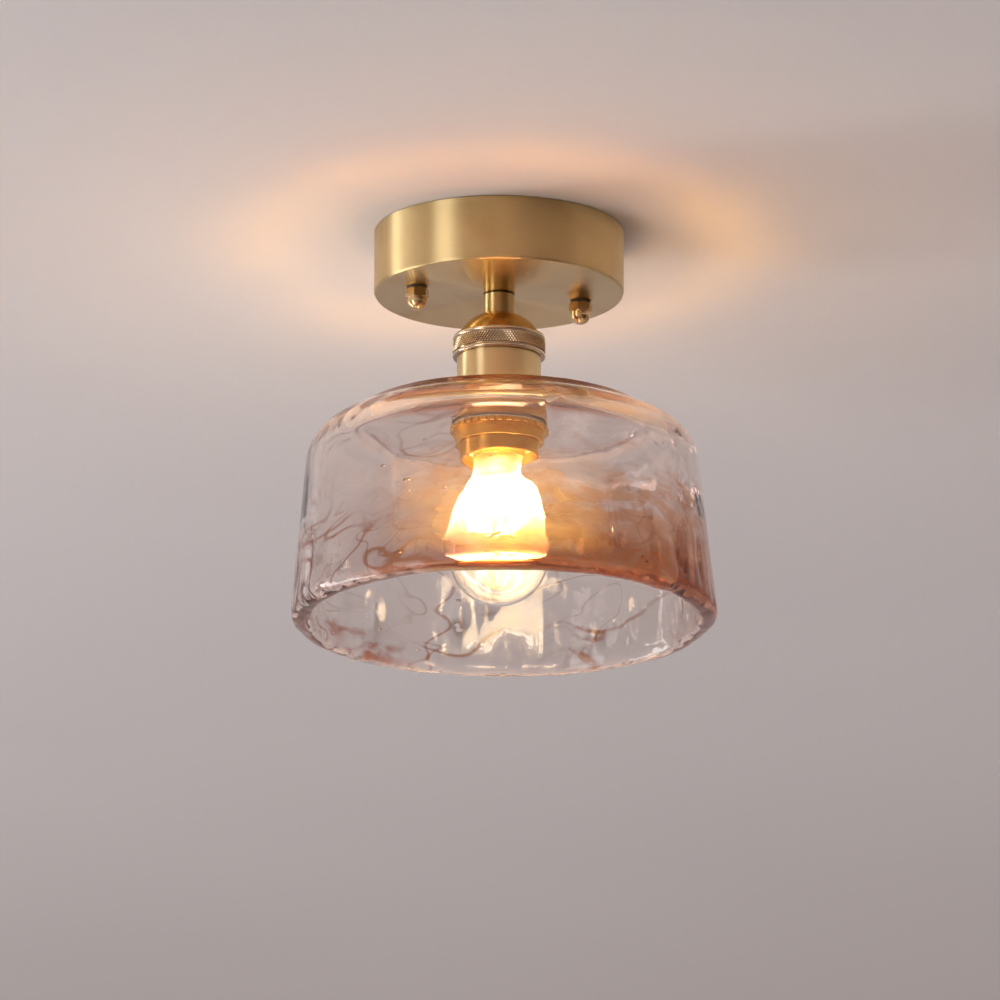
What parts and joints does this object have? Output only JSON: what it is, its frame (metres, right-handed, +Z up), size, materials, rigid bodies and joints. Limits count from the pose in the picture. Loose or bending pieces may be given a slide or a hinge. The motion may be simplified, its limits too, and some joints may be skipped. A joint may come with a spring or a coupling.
{
  "type": "ceiling light",
  "caption": "Semi-flush ceiling light: satin brass canopy and knurled lamp holder, streaked rose-amber glass drum shade clamped by a ring, and a screw-in filament bulb.",
  "frame": {"origin": "middle of the ceiling face of the crossbar, on the light's axis", "axes": "+Z up into the ceiling along the light's axis, +X along the crossbar through both cap nuts"},
  "size_m": [0.203, 0.203, 0.195],
  "materials": {
    "satin_brass": "satin brushed, lacquered",
    "polished_brass": "polished",
    "plain_brass": "turned, plain",
    "zinc_steel": "zinc plated",
    "shade_glass": "clear rose-amber, rippled, with brown streaks",
    "bulb_glass": "clear, smooth",
    "porcelain": "white glaze",
    "silicone": "translucent white",
    "black_rubber": "matt",
    "white_nylon": "moulded",
    "grey_foam": "closed-cell foam",
    "brown_wire": "flexible insulation",
    "blue_wire": "flexible insulation",
    "earth_wire": "green and yellow insulation",
    "nickel": "bright plated",
    "dark_vitrite": "dark glass insulator",
    "spring_bronze": "bright strip",
    "filament": "glowing, warm white"
  },
  "bodies": {
    "fixture": {"crossbar": "zinc_steel", "crossbar_studs": "zinc_steel", "stud_lock_nuts": "zinc_steel", "earth_screw": "plain_brass", "earth_lug": "nickel", "earth_wire": "earth_wire", "canopy": "satin_brass", "terminal_pad": "grey_foam", "terminal_block": "white_nylon", "terminal_tubes": "plain_brass", "terminal_screws": "zinc_steel", "live_wire": "brown_wire", "neutral_wire": "blue_wire", "nipple": "plain_brass", "nipple_nut": "plain_brass", "nipple_washer": "zinc_steel", "nipple_bush": "white_nylon", "stem_sleeve": "satin_brass", "holder_cap": "satin_brass", "holder_shell": "satin_brass", "porcelain_core": "porcelain", "screw_shell": "nickel", "centre_contact": "spring_bronze", "core_rivets": "plain_brass", "core_posts": "plain_brass", "post_screws": "zinc_steel", "upper_gasket": "silicone"},
    "shade": {"glass_shade": "shade_glass", "lower_gasket": "silicone"},
    "shade_ring": {"shade_ring": "satin_brass"},
    "bulb_base": {"bulb_insulator": "dark_vitrite", "bulb_tip": "nickel"},
    "bulb": {"bulb_globe": "bulb_glass", "bulb_cap": "nickel", "bulb_stem": "bulb_glass", "bulb_mast": "nickel", "bulb_filaments": "filament"},
    "washer_left": {"nut_washer_left": "black_rubber"},
    "cap_nut_left": {"cap_nut_left": "polished_brass"},
    "washer_right": {"nut_washer_right": "black_rubber"},
    "cap_nut_right": {"cap_nut_right": "polished_brass"}
  },
  "joints": [
    {"name": "shade_ring_drop", "type": "slide", "parent": "fixture", "child": "shade", "axis": [0, 0, -1], "range_m": [0, 0.014]},
    {"name": "shade_ring_turn", "type": "hinge", "parent": "shade", "child": "shade_ring", "pos_m": [0, 0, -0.103], "axis": [0, 0, -1], "range_deg": [0, 2016.5]},
    {"name": "bulb_drop", "type": "slide", "parent": "fixture", "child": "bulb_base", "axis": [0, 0, -1], "range_m": [0, 0.01811]},
    {"name": "bulb_turn", "type": "hinge", "parent": "bulb_base", "child": "bulb", "pos_m": [0, 0, -0.1], "axis": [0, 0, -1], "range_deg": [0, 1800]},
    {"name": "cap_nut_left_drop", "type": "slide", "parent": "fixture", "child": "washer_left", "axis": [0, 0, -1], "range_m": [0, 0.00681]},
    {"name": "cap_nut_left_turn", "type": "hinge", "parent": "washer_left", "child": "cap_nut_left", "pos_m": [-0.041, 0, -0.035], "axis": [0, 0, -1], "range_deg": [0, 3060]},
    {"name": "cap_nut_right_drop", "type": "slide", "parent": "fixture", "child": "washer_right", "axis": [0, 0, -1], "range_m": [0, 0.00681]},
    {"name": "cap_nut_right_turn", "type": "hinge", "parent": "washer_right", "child": "cap_nut_right", "pos_m": [0.041, 0, -0.035], "axis": [0, 0, -1], "range_deg": [0, 3060]}
  ],
  "couplings": [
    {"joint": "shade_ring_turn", "follows": "shade_ring_drop", "rad_per_m": 2513.3},
    {"joint": "bulb_drop", "follows": "bulb_turn", "m_per_rad": 0.00057614},
    {"joint": "cap_nut_left_drop", "follows": "cap_nut_left_turn", "m_per_rad": 0.00012732},
    {"joint": "cap_nut_right_drop", "follows": "cap_nut_right_turn", "m_per_rad": 0.00012732}
  ]
}
